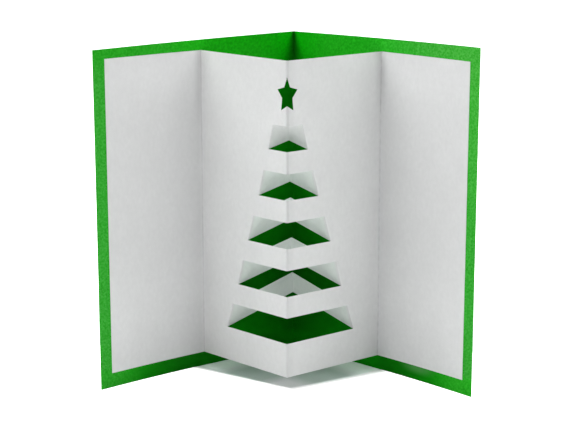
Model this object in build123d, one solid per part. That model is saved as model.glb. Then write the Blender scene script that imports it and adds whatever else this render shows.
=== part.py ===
from build123d import *
import math
import os

# A pop-up card, standing on its bottom edges and opened towards the viewer.
# Two pieces of card make it: a green cover folded once, and a white insert
# folded like a W, whose outer panels are glued to the cover's inside. The
# ridge of the insert is cut and pushed back in five steps, so that the green
# behind shows as a tree, with a star cut through the ridge above it.
#
# +Z is up, +Y points to the back, where the cover's fold is, and the viewer
# is on the -Y side. The origin is on the ground at the middle of the card.

# cover, a sheet folded once to two panels
cover_thickness = 0.3
panel_width = 148.5         # fold to outer edge
fold_height = 210.5         # height of the sheet at its fold
trim_slope = 0.0132         # the top edge was cut a little out of square
fold_half_angle = 53.9      # each panel from the middle plane, at the fold
edge_half_angle = 45.3      # the same at the outer edge: the panels bow
cover_fold_radius = 0.4     # inside radius of the fold

# insert, a sheet folded three times to four panels
insert_thickness = 0.25
glue_film = 0.03            # between the insert and the cover
left_margin = 8.2           # cover's outer edge to the insert's
right_margin = 7.3
left_crease = 70.2          # cover's fold to the insert's valley folds
right_crease = 71.6
left_slope_width = 74.8     # valley fold to ridge
right_slope_width = 73.5
insert_bottom = 9.1
insert_height = 194.1
insert_fold_radius = 0.3    # inside radius of its folds

# Each step of the tree, from the top one down: the heights of its lower and
# upper cut above the insert's bottom edge, and how far each cut runs from the
# ridge before it meets the slanted fold that the step is pushed back along.
steps = [
    (139.8, 155.2, 16.0, 11.8),
    (110.3, 126.5, 24.4, 20.0),
    (80.6, 96.9, 34.2, 29.1),
    (50.9, 67.2, 42.9, 38.4),
    (21.3, 37.5, 53.0, 47.7),
]

# star, cut through both slopes: the corners of one half from its top tip
# down, each as its distance from the ridge and its height on the insert
star_half = [
    (0.0, 184.4),
    (2.4, 178.3),
    (7.9, 176.6),
    (4.2, 171.6),
    (4.9, 164.3),
    (0.0, 167.3),
]


def unit(degrees):
    """Direction in plan that leans this far from the middle, towards -Y."""
    a = math.radians(degrees)
    return Vector(math.sin(a), -math.cos(a))


# The right panel of the cover follows an arc in plan. Its middle surface
# passes through (0, 0) and turns from one half angle to the other.
bow = math.radians(fold_half_angle - edge_half_angle)
bow_radius = panel_width / bow
bow_centre = unit(fold_half_angle - 90) * bow_radius


def on_panel(s, inwards, side=1):
    """Point in plan at length s along a panel, moved inwards from its middle
    surface. Side is 1 for the right panel and -1 for the left one."""
    angle = fold_half_angle - math.degrees(s / bow_radius)
    p = bow_centre + unit(angle + 90) * (bow_radius - inwards)
    return Vector(side * p.X, p.Y)


def crossing(p, d, q, e):
    """Point where the line through p along d meets the line through q
    along e, in plan."""
    t = ((q.X - p.X) * e.Y - (q.Y - p.Y) * e.X) / (d.X * e.Y - d.Y * e.X)
    return p + d * t


def offset_on_axis(inwards):
    """Point of the middle plane where both panels' offset arcs meet."""
    r = bow_radius - inwards
    return Vector(0, bow_centre.Y + math.sqrt(r * r - bow_centre.X**2))


def nearest_vertex(face, point):
    return face.vertices().sort_by_distance((point.X, point.Y, 0))[0]


def sheet_between(front, back):
    """Face in plan between the front and the back line of a sheet, each a
    list of edges that runs from the left end to the right one."""
    left_end = Line(back[0] @ 0, front[0] @ 0)
    right_end = Line(front[-1] @ 1, back[-1] @ 1)
    return make_face(front + back + [left_end, right_end])


def rounded(face, points, radius):
    """The face with its corners at these points rounded in plan."""
    corners = [nearest_vertex(face, p) for p in points]
    return fillet(corners, radius)


# cover: two bowed panels that meet at the fold
def cover_line(inwards):
    fold = offset_on_axis(inwards)
    left = ThreePointArc(
        on_panel(panel_width, inwards, -1),
        on_panel(panel_width / 2, inwards, -1),
        fold,
    )
    right = ThreePointArc(
        fold,
        on_panel(panel_width / 2, inwards),
        on_panel(panel_width, inwards),
    )
    return [left, right]


half_cover = cover_thickness / 2
cover_plan = sheet_between(cover_line(half_cover), cover_line(-half_cover))
cover_plan = rounded(cover_plan, [offset_on_axis(half_cover)], cover_fold_radius)
cover_plan = rounded(
    cover_plan, [offset_on_axis(-half_cover)], cover_fold_radius + cover_thickness
)
cover = extrude(cover_plan, fold_height + 20)
trim = Plane(origin=(0, 0, fold_height), z_dir=(-trim_slope, 0, 1))
cover = split(cover, bisect_by=trim, keep=Keep.BOTTOM)


# insert: where its middle surface folds, in plan
half_insert = insert_thickness / 2
glued = half_cover + glue_film + half_insert
fold_left = on_panel(left_crease, glued, -1)
fold_right = on_panel(right_crease, glued)
span = (fold_right - fold_left).length
across = (fold_right - fold_left).normalized()
along = (left_slope_width**2 - right_slope_width**2 + span**2) / (2 * span)
forward = math.sqrt(left_slope_width**2 - along**2)
ridge = fold_left + across * along + Vector(across.Y, -across.X) * forward
to_left = (fold_left - ridge).normalized()
to_right = (fold_right - ridge).normalized()
front_of_left = Vector(-to_left.Y, to_left.X)
front_of_right = Vector(to_right.Y, -to_right.X)


def meets_panel(p, d, inwards, side):
    """Point where the line in plan through p along d crosses the offset arc
    of a panel, nearest to p."""
    centre = Vector(side * bow_centre.X, bow_centre.Y)
    r = bow_radius - inwards
    b = (p - centre).dot(d)
    c = (p - centre).dot(p - centre) - r * r
    roots = [-b - math.sqrt(b * b - c), -b + math.sqrt(b * b - c)]
    return p + d * min(roots, key=abs)


def insert_line(outwards):
    """Line of the insert in plan, this far in front of its middle surface,
    with the corners where it folds."""
    inwards = glued + outwards
    at_left = meets_panel(
        fold_left + front_of_left * outwards, to_left, inwards, -1
    )
    at_right = meets_panel(
        fold_right + front_of_right * outwards, to_right, inwards, 1
    )
    top = crossing(at_left, to_left, at_right, to_right)
    left_end = panel_width - left_margin
    right_end = panel_width - right_margin
    edges = [
        ThreePointArc(
            on_panel(left_end, inwards, -1),
            on_panel((left_end + left_crease) / 2, inwards, -1),
            at_left,
        ),
        Line(at_left, top),
        Line(top, at_right),
        ThreePointArc(
            at_right,
            on_panel((right_end + right_crease) / 2, inwards),
            on_panel(right_end, inwards),
        ),
    ]
    return edges, (at_left, top, at_right)


front_edges, front_corners = insert_line(half_insert)
back_edges, back_corners = insert_line(-half_insert)
insert_plan = sheet_between(front_edges, back_edges)
inner = [front_corners[0], back_corners[1], front_corners[2]]
outer = [back_corners[0], front_corners[1], back_corners[2]]
insert_plan = rounded(insert_plan, inner, insert_fold_radius)
insert_plan = rounded(insert_plan, outer, insert_fold_radius + insert_thickness)
insert = extrude(Pos(0, 0, insert_bottom) * insert_plan, insert_height)


# tree: each step is the part of the ridge in front of the plane through its
# two slanted folds, and pushing it back turns it into its mirror image there
def on_slope(direction, distance, height):
    p = ridge + direction * distance
    return Vector(p.X, p.Y, insert_bottom + height)


for low, high, low_half, high_half in steps:
    left_low = on_slope(to_left, low_half, low)
    left_high = on_slope(to_left, high_half, high)
    right_low = on_slope(to_right, low_half, low)
    normal = (left_high - left_low).cross(right_low - left_low).normalized()
    if normal.Y > 0:
        normal = -normal
    folds = Plane(origin=left_low, z_dir=normal)
    half_width = (right_low - left_low).length / 2 + 4
    middle = (left_low + right_low) / 2
    block = Box(2 * half_width, 120, high - low)
    block = Pos(middle.X, middle.Y, insert_bottom + (low + high) / 2) * block
    block = split(block, bisect_by=folds, keep=Keep.TOP)
    pushed = mirror(insert & block, about=folds)
    insert = insert - block + pushed


# star: half of it is cut square through each slope
def half_star(direction, front):
    past = -insert_thickness
    outline = [(past, star_half[0][1])] + star_half + [(past, star_half[-1][1])]
    points = [on_slope(direction, x, z) for x, z in outline]
    hole = make_face(Polyline(points, close=True))
    depth = insert_thickness * 1.6
    return extrude(hole, depth, dir=front, both=True)


for direction, front in ((to_left, front_of_left), (to_right, front_of_right)):
    insert -= half_star(direction, front)


# both pieces are moved so that the origin is under the middle of the card
box = Compound([cover, insert]).bounding_box()
centre = Pos(-(box.min.X + box.max.X) / 2, -(box.min.Y + box.max.Y) / 2, 0)
os.makedirs("parts", exist_ok=True)
for name, piece in (("green_cover", cover), ("white_insert", insert)):
    piece = centre * piece
    solids = piece.solids()
    print(name, len(solids), "solid", round(piece.volume, 1), "mm3")
    export_step(solids[0] if len(solids) == 1 else piece, f"parts/{name}.step")
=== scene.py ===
from math import pi, radians

import bpy
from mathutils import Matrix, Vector

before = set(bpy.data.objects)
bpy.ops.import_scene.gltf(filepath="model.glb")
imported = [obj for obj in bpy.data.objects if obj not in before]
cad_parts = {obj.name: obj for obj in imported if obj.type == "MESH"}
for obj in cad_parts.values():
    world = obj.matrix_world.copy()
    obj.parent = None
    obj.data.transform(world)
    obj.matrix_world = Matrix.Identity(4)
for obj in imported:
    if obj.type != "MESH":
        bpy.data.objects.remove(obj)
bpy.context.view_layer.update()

# Every place and length is in metres on the CAD's axes: x to the right, y to the back, z up.
# The upright folds in plan. The cover's painted shade and light are graded from 0.2 mm
# right of its fold, and the ridge's crease line, partly painted shade, shows half a millimetre
# right of the ridge.
COVER_FOLD = (0.0, 0.0479, 0.0)
COVER_CREASE = (0.0002, 0.0479, 0.0)
LEFT_VALLEY = (-0.05501, 0.00455, 0.0)
RIGHT_VALLEY = (0.05608, 0.00365, 0.0)
RIDGE = (0.00100, -0.04503, 0.0)
RIDGE_CREASE = (0.00145, -0.04463, 0.0)

# The kinds of node that are used often, and the settings that they share.
MATH = "ShaderNodeMath"
VECTOR = "ShaderNodeVectorMath"
RANGE = "ShaderNodeMapRange"
MIX = "ShaderNodeMix"
NOISE = "ShaderNodeTexNoise"
AXES = "ShaderNodeSeparateXYZ"
TIMES = {"operation": "MULTIPLY"}
PLUS = {"operation": "ADD"}
MINUS = {"operation": "SUBTRACT"}
MINUS_TO_ZERO = {"operation": "SUBTRACT", "use_clamp": True}
LARGER = {"operation": "MAXIMUM"}
SMALLER = {"operation": "MINIMUM"}
UNSIGNED = {"operation": "ABSOLUTE"}
DISTANCE = {"operation": "DISTANCE"}
ALONG = {"operation": "DOT_PRODUCT"}
SMOOTH = {"interpolation_type": "SMOOTHSTEP"}
COLOUR = {"data_type": "RGBA", "clamp_factor": True}
TINT = {"data_type": "RGBA", "clamp_factor": True, "blend_type": "MULTIPLY"}


# How many finer layers each noise has.
NOISE_DETAIL = 2.0


def ink(hex_colour):
    """The linear colour of an sRGB hex value."""
    channels = []
    for start in (1, 3, 5):
        value = int(hex_colour[start:start + 2], 16) / 255
        channels.append(value / 12.92 if value <= 0.04045 else ((value + 0.055) / 1.055) ** 2.4)
    return (*channels, 1.0)


def stock(name):
    """A new material for one kind of surface, and its shader."""
    material = bpy.data.materials.new(name)
    material.use_nodes = True
    return material, material.node_tree.nodes["Principled BSDF"]


def fill(material, made, values):
    """Gives a node's inputs their numbers, colours or links: the ones that a dictionary names, or,
    from a list, the ones that the node's settings leave in use, in their order.

    A range's list is its value, the two ends that it comes from and the two that it goes to. A
    mix's is its factor and two colours. A node as a value stands for its first output in use.
    """
    if isinstance(values, dict):
        pairs = [(made.inputs[name], value) for name, value in values.items()]
    else:
        pairs = zip([socket for socket in made.inputs if socket.enabled], values)
    for socket, value in pairs:
        if isinstance(value, bpy.types.Node):
            value = next(output for output in value.outputs if output.enabled)
        if isinstance(value, bpy.types.NodeSocket):
            material.node_tree.links.new(value, socket)
        else:
            socket.default_value = value


def node(material, kind, settings=None, values=()):
    """Adds a node with its settings and fills its inputs."""
    made = material.node_tree.nodes.new(kind)
    for key, value in (settings or {}).items():
        setattr(made, key, value)
    fill(material, made, values)
    return made


def dress(sheet, material):
    """Gives a whole sheet one material."""
    sheet.data.materials.clear()
    sheet.data.materials.append(material)


def from_fold(paper, place, fold):
    """The distance from an upright fold line."""
    plan = node(paper, VECTOR, TIMES, [place, (1, 1, 0)])
    return node(paper, VECTOR, DISTANCE, [plan, fold])


def near_fold(paper, place, fold, inner, outer):
    """1 on an upright fold line, falling to 0 between the inner and outer distances from it."""
    away = from_fold(paper, place, fold)
    return node(paper, RANGE, SMOOTH, [away, inner, outer, 1.0, 0.0])


# The white paper's grain, as lumps to a metre. Fibre clumps lie 2.3 mm apart and clouds 12 mm.
# The felt side's tooth is drawn at 0.7 mm, some four times the real one, so that it shows.
UPRIGHT_GRAIN = (1, 1, 0.75)
CLUMPS_PER_METRE = 430.0
CLOUDS_PER_METRE = 85.0
TOOTH_PER_METRE = 1500.0
TOOTH_STRENGTH, TOOTH_DEPTH = 0.12, 0.00008
CLUMP_ROUGHNESS = 0.5
CLOUD_CONTRAST = (0.3, 0.7, 0.0, 0.35)

# The score's dashes: their pitch, the height that they are counted from, and how dark the line is
# between and on them. Widths are the distances from a fold where its line starts and stops fading.
DASH_PITCH = 0.0062
DASH_START = 0.0050
LEFT_DASHES = (0.44, 0.72)
RIGHT_DASHES = (0.14, 1.02)
SCORE_WIDTH = (0.0002, 0.0010)
CREASE_WIDTH = (0.0001, 0.0018)
# The ridge's crease line is partly painted shade, and the band right of it is painted shade.
RIDGE_SHADE_WIDTH = (0.0015, 0.0075)
RIDGE_SHADE_RIGHT_SIDE = (0.0010, 0.0020, 0.0, 0.5)
CREASE_LOW_TO_HIGH = (0.085, 0.115, 0.95, 1.5)
LINE_DEPTH = 0.18
# The grey of the score marks, and of the painted shade on the paper.
MARK_AND_SHADE_GREY = "#9A9C9B"

# Where the outer panels begin, to each side, and the bands of painted shade on and beside them.
PANELS_FROM = (0.0545, 0.0565)
BAND_RISES = (0.045, 0.090, 0.0, 0.11)
BAND_ENDS = (0.160, 0.200, 1.0, 0.0)
VALLEY_TOP_SHADE_WIDTH = (0.0, 0.0065)
VALLEY_TOP_SHADE_RISES = (0.155, 0.190, 0.0, 0.22)

# The painted light on the left slope's foot: from its fold inwards, and from the foot up.
LEFT_SLOPE_FROM_FOLD = (-0.0545, -0.022, 1.0, 0.0)
LEFT_SLOPE_FROM_FOOT = (0.010, 0.055, 1.0, 0.25)
WHITER = (1.11, 1.09, 1.09, 1.0)

# Straight back through the left and the right slope, where the steps are.
BEHIND_LEFT_SLOPE = (0.6628, 0.7488, 0)
BEHIND_RIGHT_SLOPE = (-0.6622, 0.7493, 0)
STEPS_FROM_SLOPES = (0.0004, 0.0025)
STEPS_BELOW_TOP_ONE = (0.130, 0.165, 1.0, 0.0)
# The steps are painted lighter and a little green, as by light shining through them.
SHONE_THROUGH = (1.01, 1.07, 1.03, 1.0)


def white_wove():
    """White wove paper, uncoated and about 200 gsm. Its fibres settle in soft clouds, and leave
    no gloss."""
    paper, shader = stock("white wove paper, uncoated")
    place = node(paper, "ShaderNodeTexCoord").outputs["Object"]
    axes = node(paper, AXES, {}, [place])
    across, height = axes.outputs["X"], axes.outputs["Z"]

    # The sheet's fibres lie mostly upright, so its clouds are a third taller than they are wide.
    grain = node(paper, VECTOR, TIMES, [place, UPRIGHT_GRAIN])
    clumps = node(paper, NOISE, {}, [grain, CLUMPS_PER_METRE, NOISE_DETAIL, CLUMP_ROUGHNESS])
    clouds = node(paper, NOISE, {}, [grain, CLOUDS_PER_METRE, NOISE_DETAIL, CLUMP_ROUGHNESS])
    fibres = node(paper, MIX, COLOUR, [clumps, ink("#E4E5E5"), ink("#F0F1F1")])
    cloudy = node(paper, RANGE, {}, [clouds, *CLOUD_CONTRAST])
    clouded = node(paper, MIX, COLOUR, [cloudy, fibres, ink("#E3E4E4")])

    # Both valleys are folded along a dashed score, pressed harder in the right one.
    above = node(paper, MATH, MINUS, [height, DASH_START])
    turn = node(paper, MATH, TIMES, [above, 2 * pi / DASH_PITCH])
    beat = node(paper, MATH, {"operation": "COSINE"}, [turn])
    scores = []
    for valley, dashes in ((LEFT_VALLEY, LEFT_DASHES), (RIGHT_VALLEY, RIGHT_DASHES)):
        line = near_fold(paper, place, valley, *SCORE_WIDTH)
        dash = node(paper, RANGE, {}, [beat, -1.0, 1.0, *dashes])
        scores.append(node(paper, MATH, TIMES, [line, dash]))
    score = node(paper, MATH, LARGER, scores)

    # The ridge has a crease line, partly a crease mark and partly painted shade, sharper in its
    # upper half, and painted shade along its right side, where that flank turns from the light.
    ridge = near_fold(paper, place, RIDGE_CREASE, *CREASE_WIDTH)
    sharpness = node(paper, RANGE, {}, [height, *CREASE_LOW_TO_HIGH])
    crease_line_and_shade = node(paper, MATH, TIMES, [ridge, sharpness])
    by_ridge = near_fold(paper, place, RIDGE, *RIDGE_SHADE_WIDTH)
    right_side = node(paper, RANGE, {}, [across, *RIDGE_SHADE_RIGHT_SIDE])
    right_flank_shade = node(paper, MATH, TIMES, [by_ridge, right_side])
    along_fold_mask = node(paper, MATH, LARGER, [crease_line_and_shade, right_flank_shade])
    worn_and_shaded = node(paper, MATH, LARGER, [score, along_fold_mask])
    depth = node(paper, MATH, TIMES, [worn_and_shaded, LINE_DEPTH])
    creased_and_shaded = node(paper, MIX, COLOUR, [depth, clouded, ink(MARK_AND_SHADE_GREY)])

    # Painted shade: the outer panels' middle is a little greyer, and so is the top of both
    # valleys.
    sideways = node(paper, MATH, UNSIGNED, [across])
    panels = node(paper, RANGE, {}, [sideways, *PANELS_FROM])
    risen = node(paper, RANGE, SMOOTH, [height, *BAND_RISES])
    ending = node(paper, RANGE, SMOOTH, [height, *BAND_ENDS])
    band = node(paper, MATH, TIMES, [risen, ending])
    greyed = node(paper, MATH, TIMES, [band, panels])
    by_left = near_fold(paper, place, LEFT_VALLEY, *VALLEY_TOP_SHADE_WIDTH)
    by_right = near_fold(paper, place, RIGHT_VALLEY, *VALLEY_TOP_SHADE_WIDTH)
    left_outer = node(paper, MATH, TIMES, [by_left, panels])
    beside = node(paper, MATH, LARGER, [left_outer, by_right])
    top = node(paper, RANGE, SMOOTH, [height, *VALLEY_TOP_SHADE_RISES])
    valley_top_shade = node(paper, MATH, TIMES, [beside, top])
    painted_grey_shade = node(paper, MATH, PLUS, [greyed, valley_top_shade])
    panel_shaded = node(paper, MIX, COLOUR, [painted_grey_shade, creased_and_shaded, ink(MARK_AND_SHADE_GREY)])

    # Painted light: the left slope's foot is painted a little whiter.
    by_slope = node(paper, RANGE, {}, [across, *LEFT_SLOPE_FROM_FOLD])
    slope_only = node(paper, MATH, MINUS_TO_ZERO, [by_slope, panels])
    by_foot = node(paper, RANGE, {}, [height, *LEFT_SLOPE_FROM_FOOT])
    painted_light_foot = node(paper, MATH, TIMES, [slope_only, by_foot])
    whiter = node(paper, MIX, TINT, [painted_light_foot, panel_shaded, WHITER])

    # Painted light: the steps, the only paper behind both slopes but for the top one, are painted
    # a little lighter and greener, as by green light shining through them from behind.
    from_ridge = node(paper, VECTOR, MINUS, [place, RIDGE])
    past_left = node(paper, VECTOR, ALONG, [from_ridge, BEHIND_LEFT_SLOPE])
    past_right = node(paper, VECTOR, ALONG, [from_ridge, BEHIND_RIGHT_SLOPE])
    past = node(paper, MATH, SMALLER, [past_left, past_right])
    step = node(paper, RANGE, {}, [past, *STEPS_FROM_SLOPES])
    lower = node(paper, RANGE, {}, [height, *STEPS_BELOW_TOP_ONE])
    through = node(paper, MATH, TIMES, [step, lower])
    tinted = node(paper, MIX, TINT, [through, whiter, SHONE_THROUGH])

    # The felt side's tooth, and the dents of the score.
    tooth = node(paper, NOISE, {}, [place, TOOTH_PER_METRE, NOISE_DETAIL])
    dented = node(paper, MATH, MINUS, [tooth, score])
    relief = node(paper, "ShaderNodeBump", {},
                  {"Strength": TOOTH_STRENGTH, "Distance": TOOTH_DEPTH, "Height": dented})
    fill(paper, shader, {"Base Color": tinted, "Normal": relief, "Roughness": 0.9, "IOR": 1.45})
    return paper


# The green card's grain, as lumps to a metre. Its fibre specks lie 1.3 mm apart, blotches 6 mm.
SPECKS_PER_METRE = 760.0
BLOTCHES_PER_METRE = 170.0
GRAIN_STRENGTH, GRAIN_DEPTH = 0.2, 0.0001
SPECK_ROUGHNESS, BLOTCH_ROUGHNESS = 0.6, 0.5
SPECK_CONTRAST = (0.35, 0.65)
BLOTCH_CONTRAST = (0.3, 0.7, 0.0, 0.3)

# The corner painted lighter, measured up to the right.
TO_TOP_RIGHT = (1, 0, 0.4)
CORNER = (0.140, 0.190)
LIT_CORNER_TINT = (1.45, 1.14, 1.3, 1.0)

# The inner side faces forwards. Behind the insert it is painted purer, as by light bounced
# between the green walls, most so at the fold.
INNER_SIDE = (-0.1, 0.1, 1.0, 0.0)
SHELTERED_FROM = (-0.030, 0.020)
PURE_BY_FOLD = (0.0, 0.035)
PURE_AT_FOLD, PURE_AWAY = (0.05, 1.0, 0.05, 1.0), (0.37, 1.0, 0.32, 1.0)
LEFT_TO_RIGHT = (-0.02, 0.02)
TOP_EDGE = (0.186, 0.212)
PURE_TOP_LEFT, PURE_TOP_RIGHT = (0.49, 0.96, 0.41, 1.0), (1.0, 1.0, 1.0, 1.0)
BRIGHT_TOP = (1.3, 1.38, 1.3, 1.0)

# The painted shade behind the insert: where it is, and how it is graded from the fold and upwards.
DEEP_FROM_SLOPES = (-0.005, 0.020, 0.0, 0.9)
DEEP_UP_TO = (0.165, 0.202, 1.0, 0.0)
GRADED_FROM_FOLD = (0.002, 0.036)
LEVEL_FROM_FOOT = (0.015, 0.045, 1.25, 1.0)
LEVEL_TO_STAR = (0.047, 0.111, 0.80, 1.28)

# The painted shade along the foot, from the card's front edges to its fold, and the foot's
# painted tint on the left and the right.
FOOT = (0.009, 0.014, 1.0, 0.0)
FOOT_FROM_FRONT = (-0.042, -0.022, 0.0, 0.9)
FOOT_DEEPER = (-0.038, -0.008)
FOOT_PAST_VALLEY = (-0.001, 0.007)
FOOT_LEFT, FOOT_RIGHT = (0.65, 0.98, 0.62, 1.0), (0.62, 1.09, 0.53, 1.0)

# A pale patch of painted light on the right foot, 26 mm wide and 12 mm high.
GLOW_STRETCH = (1, 0, 2.2)
GLOW_PLACE = (0.081, 0, 0.018)
GLOW_FADES = (0.0, 0.013, 0.7, 0.0)

# The wedge of painted shadow in the fold, with its half width at two heights, and the fold's
# outer rub.
WEDGE = (0.1655, 0.2105, 0.0243, 0.0023)
WEDGE_FADES = (0.0, 1.0, 0.85, 0.0)
FOLD_RUB_WIDTH = (0.0003, 0.0011)
FOLD_RUB = 0.3


def green_card():
    """Green card, dyed through and about 240 gsm. Short fibres take the dye unevenly, so it looks
    speckled."""
    paper, shader = stock("green dyed card")
    place = node(paper, "ShaderNodeTexCoord").outputs["Object"]
    axes = node(paper, AXES, {}, [place])
    across, back, height = (axes.outputs[axis] for axis in "XYZ")

    specks = node(paper, NOISE, {}, [place, SPECKS_PER_METRE, NOISE_DETAIL, SPECK_ROUGHNESS])
    blotches = node(paper, NOISE, {}, [place, BLOTCHES_PER_METRE, NOISE_DETAIL, BLOTCH_ROUGHNESS])
    fleck = node(paper, RANGE, {}, [specks, *SPECK_CONTRAST])
    dye = node(paper, MIX, COLOUR, [fleck, ink("#2AA225"), ink("#49BC44")])
    patchy = node(paper, RANGE, {}, [blotches, *BLOTCH_CONTRAST])
    mottled = node(paper, MIX, COLOUR, [patchy, dye, ink("#2CA828")])

    # Painted light: the top right corner is painted a little lighter and paler.
    towards = node(paper, VECTOR, ALONG, [place, TO_TOP_RIGHT])
    corner = node(paper, RANGE, SMOOTH, [towards, *CORNER])
    lit_corner_colour = node(paper, MIX, TINT, [corner, mottled, LIT_CORNER_TINT])

    # Painted light: inside, behind the insert, the green is painted purer, as by light bounced
    # between the green walls, and painted brighter along the top edge, where the light comes in.
    normal = node(paper, "ShaderNodeNewGeometry").outputs["Normal"]
    facing = node(paper, AXES, {}, [normal]).outputs["Y"]
    inner = node(paper, RANGE, {}, [facing, *INNER_SIDE])
    sheltered = node(paper, RANGE, SMOOTH, [back, *SHELTERED_FROM])
    pure = node(paper, MATH, TIMES, [sheltered, inner])
    away = from_fold(paper, place, COVER_CREASE)
    off_fold = node(paper, RANGE, SMOOTH, [away, *PURE_BY_FOLD])
    purity = node(paper, MIX, COLOUR, [off_fold, PURE_AT_FOLD, PURE_AWAY])
    purer = node(paper, MIX, TINT, [pure, lit_corner_colour, purity])
    high = node(paper, RANGE, SMOOTH, [height, *TOP_EDGE])
    rightward = node(paper, RANGE, {}, [across, *LEFT_TO_RIGHT])
    high_inner = node(paper, MATH, TIMES, [high, inner])
    top_purity = node(paper, MIX, COLOUR, [rightward, PURE_TOP_LEFT, PURE_TOP_RIGHT])
    top_purer = node(paper, MIX, TINT, [high_inner, purer, top_purity])
    rim = node(paper, MATH, TIMES, [pure, high])
    bright = node(paper, MIX, TINT, [rim, top_purer, BRIGHT_TOP])

    # Painted shade: inside, low behind the insert, where little light reaches, the green is deep.
    behind = node(paper, RANGE, SMOOTH, [back, *DEEP_FROM_SLOPES])
    under = node(paper, RANGE, SMOOTH, [height, *DEEP_UP_TO])
    low_behind = node(paper, MATH, TIMES, [behind, under])
    shade_behind = node(paper, MATH, TIMES, [low_behind, inner])
    by_fold = node(paper, RANGE, {}, [away, *GRADED_FROM_FOLD])
    shade_colour_behind = node(paper, MIX, COLOUR, [by_fold, ink("#006800"), ink("#008E00")])
    from_foot = node(paper, RANGE, {}, [height, *LEVEL_FROM_FOOT])
    to_star = node(paper, RANGE, {}, [height, *LEVEL_TO_STAR])
    level = node(paper, MATH, TIMES, [from_foot, to_star])
    levelled = node(paper, MIX, TINT, [1.0, shade_colour_behind, level])
    deep = node(paper, MIX, COLOUR, [shade_behind, bright, levelled])

    # Painted shade along the foot too, deeper and deeper towards the fold.
    foot = node(paper, RANGE, SMOOTH, [height, *FOOT])
    inward = node(paper, RANGE, SMOOTH, [back, *FOOT_FROM_FRONT])
    at_foot = node(paper, MATH, TIMES, [foot, inward])
    shaded = node(paper, MATH, TIMES, [at_foot, inner])
    further = node(paper, RANGE, {}, [back, *FOOT_DEEPER])
    past_valley = node(paper, RANGE, {}, [back, *FOOT_PAST_VALLEY])
    right_behind = node(paper, MATH, TIMES, [rightward, past_valley])
    deepest = node(paper, MIX, COLOUR, [right_behind, ink("#007200"), ink("#008A00")])
    foot_shade_colour = node(paper, MIX, COLOUR, [further, ink("#0AA206"), deepest])
    footed = node(paper, MIX, COLOUR, [shaded, deep, foot_shade_colour])
    # Painted light: the foot is painted purer, darker on the left and brighter on the right.
    at_rim = node(paper, MATH, TIMES, [foot, inner])
    foot_rim_tint = node(paper, MIX, COLOUR, [rightward, FOOT_LEFT, FOOT_RIGHT])
    rimmed = node(paper, MIX, TINT, [at_rim, footed, foot_rim_tint])

    # Painted light: the right foot is painted pale in one place, as a glow.
    squat = node(paper, VECTOR, TIMES, [place, GLOW_STRETCH])
    beside = node(paper, VECTOR, DISTANCE, [squat, GLOW_PLACE])
    glow_patch = node(paper, RANGE, SMOOTH, [beside, *GLOW_FADES])
    glow_inside = node(paper, MATH, TIMES, [glow_patch, inner])
    pale = node(paper, MIX, COLOUR, [glow_inside, rimmed, ink("#5CA459")])

    # Painted shadow: the green is deepest in the fold, in a wedge that widens from the top edge
    # down.
    wedge = node(paper, RANGE, {}, [height, *WEDGE])
    share = node(paper, MATH, {"operation": "DIVIDE"}, [away, wedge])
    close = node(paper, RANGE, SMOOTH, [share, *WEDGE_FADES])
    over = node(paper, MATH, MINUS, [1.0, under])
    high_close = node(paper, MATH, TIMES, [close, over])
    folded = node(paper, MATH, TIMES, [high_close, inner])
    creased_and_shaded = node(paper, MIX, COLOUR, [folded, pale, ink("#004A00")])

    # The fold's outside is a little rubbed.
    rub = near_fold(paper, place, COVER_FOLD, *FOLD_RUB_WIDTH)
    outside = node(paper, MATH, MINUS_TO_ZERO, [FOLD_RUB, inner])
    along_fold_mask = node(paper, MATH, TIMES, [rub, outside])
    worn_and_shaded = node(paper, MIX, COLOUR, [along_fold_mask, creased_and_shaded, ink("#6CC066")])

    # Card's usual IOR of 1.45 gave the green a pale veil that the photograph doesn't have.
    relief = node(paper, "ShaderNodeBump", {},
                  {"Strength": GRAIN_STRENGTH, "Distance": GRAIN_DEPTH, "Height": specks})
    fill(paper, shader, {"Base Color": worn_and_shaded, "Normal": relief, "Roughness": 0.8, "IOR": 1.15})
    return paper


# The floor, and the shadow's edge on it: a V with its tip before the ridge, and the directions out
# of it. The right one is half as long, because the edge is twice as soft on that side.
FLOOR_SIZE, FLOOR_PLACE = 12, (0, 3, 0)
SHADOW_TIP = (0.0038, -0.0391, 0.0)
OUT_TO_LEFT, OUT_TO_RIGHT = (-0.520, -0.854, 0), (0.285, -0.411, 0)
SHADOW_EDGE = (-0.0020, 0.0035)
OPEN_FLOOR_FROM = (0.12, 0.3)
FLOOR_WHITE = "#F3F3F3"

# The shadow is deepest under the middle of each slope, and paler at its tip and back beside the
# valleys: its tones by the distance out to either side plus that towards the back. The distance
# out is counted from 1 mm left of the middle plane.
SHADOW_MIDDLE = -0.001
SHADOW_TONES = ((-0.022, "#DCDDDF"), (-0.008, "#B8C6C0"), (0.026, "#B7C9C1"),
                (0.033, "#CEDAD5"), (0.040, "#E2F0EA"), (0.050, "#F2FFF9"))
SHADOW_START, SHADOW_LENGTH = -0.022, 0.072


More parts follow.
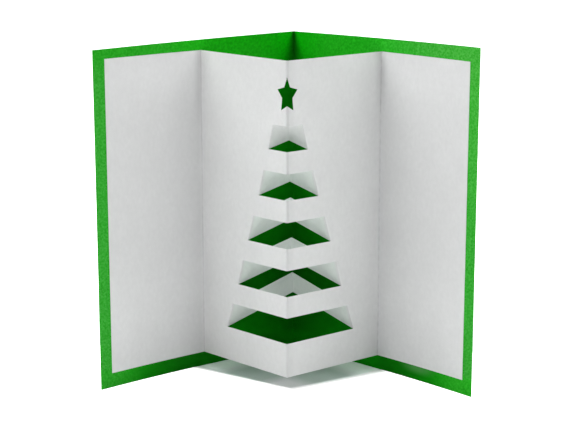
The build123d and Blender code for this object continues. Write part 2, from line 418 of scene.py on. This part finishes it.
def white_floor():
    """A matt white floor that keeps the card's shadow. Away from the card, camera and mirror rays
    see it lifted to pure white."""
    paint, shader = stock("matt white studio floor")
    place = node(paint, "ShaderNodeTexCoord").outputs["Object"]
    from_tip = node(paint, VECTOR, MINUS, [place, SHADOW_TIP])
    left_of = node(paint, VECTOR, ALONG, [from_tip, OUT_TO_LEFT])
    right_of = node(paint, VECTOR, ALONG, [from_tip, OUT_TO_RIGHT])
    in_front = node(paint, MATH, LARGER, [left_of, right_of])
    beyond = node(paint, RANGE, SMOOTH, [in_front, *SHADOW_EDGE])
    away = node(paint, VECTOR, {"operation": "LENGTH"}, [place])
    far = node(paint, RANGE, SMOOTH, [away, *OPEN_FLOOR_FROM])
    open_floor = node(paint, MATH, LARGER, [beyond, far])
    ray = node(paint, "ShaderNodeLightPath").outputs
    mirrored = node(paint, MATH, LARGER, [ray["Is Glossy Ray"], ray["Is Transmission Ray"]])
    seen = node(paint, MATH, LARGER, [ray["Is Camera Ray"], mirrored])
    lift = node(paint, MATH, TIMES, [open_floor, seen])
    in_shade = node(paint, MATH, MINUS, [seen, open_floor])

    axes = node(paint, AXES, {}, [place])
    from_middle = node(paint, MATH, MINUS, [axes.outputs["X"], SHADOW_MIDDLE])
    aside = node(paint, MATH, UNSIGNED, [from_middle])
    out_and_back = node(paint, MATH, PLUS, [aside, axes.outputs["Y"]])
    reach = node(paint, RANGE, {}, [out_and_back, SHADOW_START, SHADOW_START + SHADOW_LENGTH])
    tones = node(paint, "ShaderNodeValToRGB", {}, [reach])
    stops = tones.color_ramp.elements
    while len(stops) < len(SHADOW_TONES):
        stops.new(1.0)
    for stop, (distance, tone) in zip(stops, SHADOW_TONES):
        stop.position = (distance - SHADOW_START) / SHADOW_LENGTH
        stop.color = ink(tone)
    shade = node(paint, MIX, COLOUR, [in_shade, ink(FLOOR_WHITE), tones])

    # A mirror would show the open floor by its lift alone, so as plain white and no brighter.
    in_mirror = node(paint, MATH, TIMES, [open_floor, mirrored])
    unlit = node(paint, MIX, COLOUR, [in_mirror, shade, ink("#000000")])
    fill(paint, shader, {"Base Color": unlit, "Roughness": 1.0, "Specular IOR Level": 0.0,
                         "Emission Color": (1, 1, 1, 1), "Emission Strength": lift})
    return paint


# How strongly the room shines on the card, and how strongly it is seen, where 1 is white.
ROOM_STRENGTHS = (0.02, 1.0)


def white_room():
    """A world that hardly lights the card, and is pure white where it is looked at or mirrored."""
    room = bpy.data.worlds.new("white room")
    room.use_nodes = True
    ray = node(room, "ShaderNodeLightPath").outputs
    mirrored = node(room, MATH, LARGER, [ray["Is Glossy Ray"], ray["Is Transmission Ray"]])
    seen = node(room, MATH, LARGER, [ray["Is Camera Ray"], mirrored])
    strength = node(room, RANGE, {}, [seen, 0.0, 1.0, *ROOM_STRENGTHS])
    background = room.node_tree.nodes["Background"]
    fill(room, background, {"Color": (1, 1, 1, 1), "Strength": strength})
    return room


# Square softboxes, which all face a point low in the card: name, place, and power in watts.
SOFTBOX_SIZE = 1.3
SOFTBOX_AIM = (0, 0, 0.1)
SOFTBOXES = (
    ("left softbox", (-1.30, -0.35, 1.45), 18.5),
    ("right softbox", (1.50, -0.40, 1.20), 12.6),
    ("top softbox", (0.0, 0.0, 1.8), 19),
    ("rear softbox", (0.0, 0.7, 1.5), 26.8),
)

# The camera, fitted to the card's corners in the photograph: millimetres, metres and degrees.
CAMERA_SENSOR, CAMERA_LENS = 36, 99.902
CAMERA_PLACE = (0.053815, -0.963498, 0.319400)
CAMERA_TURN = (77.2893, 0.0099, 3.3621)

dress(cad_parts["white_insert"], white_wove())
dress(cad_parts["green_cover"], green_card())

bpy.ops.object.select_all(action="DESELECT")
bpy.ops.mesh.primitive_plane_add(size=FLOOR_SIZE, location=FLOOR_PLACE)
floor = bpy.context.object
floor.name = "floor"
bpy.ops.object.transform_apply(location=True)
dress(floor, white_floor())
bpy.context.scene.world = white_room()

for name, place, power in SOFTBOXES:
    lamp = bpy.data.objects.new(name, bpy.data.lights.new(name, "AREA"))
    lamp.data.shape = "SQUARE"
    lamp.data.size = SOFTBOX_SIZE
    lamp.data.energy = power
    lamp.location = place
    facing = Vector(SOFTBOX_AIM) - Vector(place)
    lamp.rotation_euler = facing.to_track_quat("-Z", "Y").to_euler()
    bpy.context.scene.collection.objects.link(lamp)

camera = bpy.data.objects.new("camera", bpy.data.cameras.new("camera"))
camera.data.sensor_width = CAMERA_SENSOR
camera.data.lens = CAMERA_LENS
camera.location = CAMERA_PLACE
camera.rotation_euler = [radians(angle) for angle in CAMERA_TURN]
bpy.context.scene.collection.objects.link(camera)
bpy.context.scene.camera = camera
bpy.context.scene.view_settings.view_transform = "Standard"
